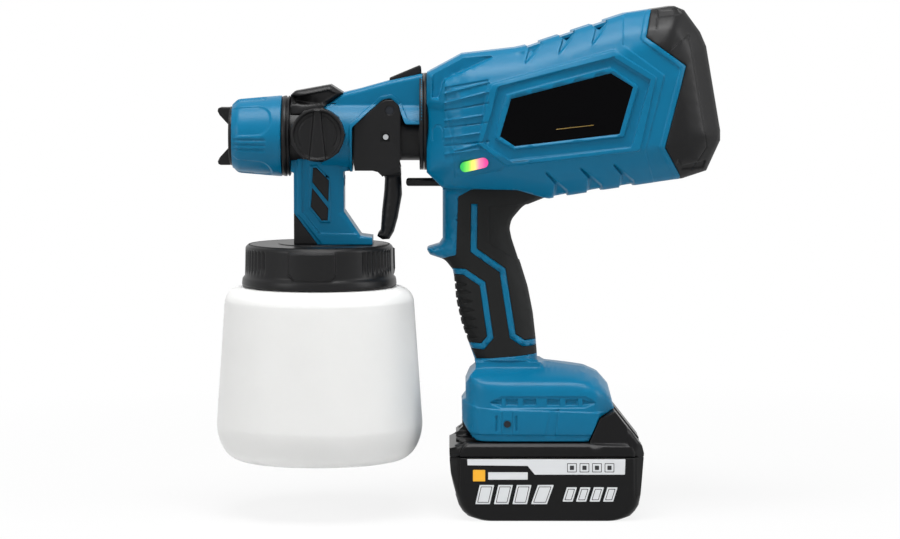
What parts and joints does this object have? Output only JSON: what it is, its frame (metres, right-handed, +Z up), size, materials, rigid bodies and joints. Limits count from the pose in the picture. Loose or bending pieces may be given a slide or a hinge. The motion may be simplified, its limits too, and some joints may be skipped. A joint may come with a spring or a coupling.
{
  "type": "cordless paint sprayer",
  "caption": "Cordless turbine spray gun with hanging paint cup, hooked trigger, flow knob, air cap and slide-on battery pack on which it stands.",
  "frame": {"origin": "middle of the battery pack's underside, on which the sprayer stands", "axes": "+X from the nozzle back to the air intake, +Y from the tool's left side to its right side, +Z up"},
  "size_m": [0.2998, 0.124, 0.3045],
  "materials": {
    "blue_shell": "satin blue moulded ABS with a fine grain",
    "black_shell": "satin black moulded plastic",
    "pack_black": "fine-grained black moulded plastic",
    "gloss_plate": "polished black plastic",
    "grip_rubber": "matt black soft rubber",
    "inner_plastic": "plain dark grey moulded plastic",
    "pale_plastic": "natural white plastic",
    "filter_foam": "grey open-cell filter pad",
    "steel": "zinc-plated steel",
    "spring_steel": "drawn spring wire",
    "magnet": "grey bonded ferrite",
    "copper": "enamelled copper winding on a steel core",
    "brass": "turned and stamped brass",
    "aluminium": "machined aluminium",
    "board": "green circuit board with parts",
    "lens": "clear status light lens",
    "wire_sleeve": "red wire sleeve",
    "gasket": "pale soft gasket",
    "clear_tube": "translucent tube",
    "frosted_cup": "frosted white polyethylene",
    "cell_sleeve": "blue sleeved lithium cells"
  },
  "bodies": {
    "motor_unit": {"housing_left": "blue_shell", "housing_right": "blue_shell", "rear_cap": "black_shell", "intake_filter": "filter_foam", "name_plate_left": "gloss_plate", "name_plate_right": "gloss_plate", "grip_left": "grip_rubber", "grip_right": "grip_rubber", "socket_ring": "black_shell", "outlet_duct": "inner_plastic", "fan_case": "inner_plastic", "motor_can": "steel", "motor_end_plates": "steel", "motor_magnets": "magnet", "shaft_bearings": "steel", "trigger_switch": "inner_plastic", "plunger_spring": "spring_steel", "control_board": "board", "led_lens": "lens", "terminal_block": "inner_plastic", "terminal_blades": "brass", "power_wires": "wire_sleeve", "housing_screws": "steel"},
    "rotor": {"rotor_shaft": "steel", "armature": "copper", "impeller": "pale_plastic"},
    "plunger": {"switch_plunger": "black_shell"},
    "gun": {"gun_shell_left": "blue_shell", "gun_shell_right": "blue_shell", "gun_barrel": "black_shell", "top_cover": "black_shell", "neck_inserts": "black_shell", "fluid_body": "aluminium", "fluid_nozzle": "brass", "needle_packing": "pale_plastic", "barrel_ring": "black_shell", "cup_lid": "black_shell", "cup_gasket": "gasket", "suction_tube": "clear_tube", "pressure_tube": "clear_tube", "trigger_pin": "steel", "gun_screws": "steel", "catch_spring": "spring_steel"},
    "trigger_lever": {"trigger": "black_shell", "link_pin": "steel"},
    "paint_needle": {"needle": "steel", "needle_spring": "spring_steel"},
    "cap": {"air_cap": "black_shell"},
    "nut": {"nozzle_nut": "blue_shell"},
    "knob": {"flow_knob": "black_shell"},
    "collar": {"cup_collar": "black_shell"},
    "cup": {"paint_cup": "frosted_cup"},
    "catch": {"release_catch": "black_shell"},
    "pack": {"pack_case_lower": "pack_black", "pack_case_upper": "pack_black", "pack_cells": "cell_sleeve", "pack_contacts": "brass", "pack_screws": "steel", "button_spring": "spring_steel"},
    "button": {"release_button": "black_shell"}
  },
  "joints": [
    {"name": "rotor_spin", "type": "hinge", "parent": "motor_unit", "child": "rotor", "pos_m": [0.03, 0, 0.2446], "axis": [0.9744, 0, 0.225], "continuous": true},
    {"name": "gun_twist", "type": "hinge", "parent": "motor_unit", "child": "gun", "pos_m": [-0.07, 0, 0.2357], "axis": [1, 0, 0], "range_deg": [0, 30]},
    {"name": "trigger_pull", "type": "hinge", "parent": "gun", "child": "trigger_lever", "pos_m": [-0.0934, 0, 0.2428], "axis": [0, -1, 0], "range_deg": [0, 13], "stiffness_Nm_per_rad": 2, "springref_deg": -5.73},
    {"name": "needle_slide", "type": "slide", "parent": "gun", "child": "paint_needle", "axis": [1, 0, 0], "range_m": [0, 0.0037], "deforming": ["needle_spring"]},
    {"name": "plunger_slide", "type": "slide", "parent": "motor_unit", "child": "plunger", "axis": [1, 0, 0], "range_m": [0, 0.0088], "deforming": ["plunger_spring"]},
    {"name": "air_cap_turn", "type": "hinge", "parent": "gun", "child": "cap", "pos_m": [-0.187, 0, 0.227], "axis": [1, 0, 0], "range_deg": [0, 90]},
    {"name": "nozzle_nut_turn", "type": "hinge", "parent": "gun", "child": "nut", "pos_m": [-0.17, 0, 0.227], "axis": [1, 0, 0], "range_deg": [0, 360]},
    {"name": "flow_knob_turn", "type": "hinge", "parent": "gun", "child": "knob", "pos_m": [-0.1355, -0.03, 0.2288], "axis": [0, 1, 0], "range_deg": [-90, 90]},
    {"name": "collar_turn", "type": "hinge", "parent": "gun", "child": "collar", "pos_m": [-0.136, 0, 0.15], "axis": [0, 0, 1], "range_deg": [0, 360]},
    {"name": "cup_drop", "type": "slide", "parent": "gun", "child": "cup", "axis": [0, 0, -1], "range_m": [0, 0.0061]},
    {"name": "catch_press", "type": "slide", "parent": "gun", "child": "catch", "axis": [0, 0, -1], "range_m": [0, 0.0024], "stiffness_N_per_m": 1500, "springref_m": -0.002, "deforming": ["catch_spring"]},
    {"name": "pack_slide", "type": "slide", "parent": "motor_unit", "child": "pack", "axis": [1, 0, 0], "range_m": [0, 0.092]},
    {"name": "button_press", "type": "slide", "parent": "pack", "child": "button", "axis": [0, 0, -1], "range_m": [0, 0.004], "stiffness_N_per_m": 1200, "springref_m": -0.002, "deforming": ["button_spring"]}
  ],
  "couplings": [
    {"joint": "needle_slide", "follows": "trigger_pull", "m_per_rad": 0.01587},
    {"joint": "plunger_slide", "follows": "trigger_pull", "m_per_rad": 0.0385},
    {"joint": "cup_drop", "follows": "collar_turn", "m_per_rad": 0.00095493}
  ]
}
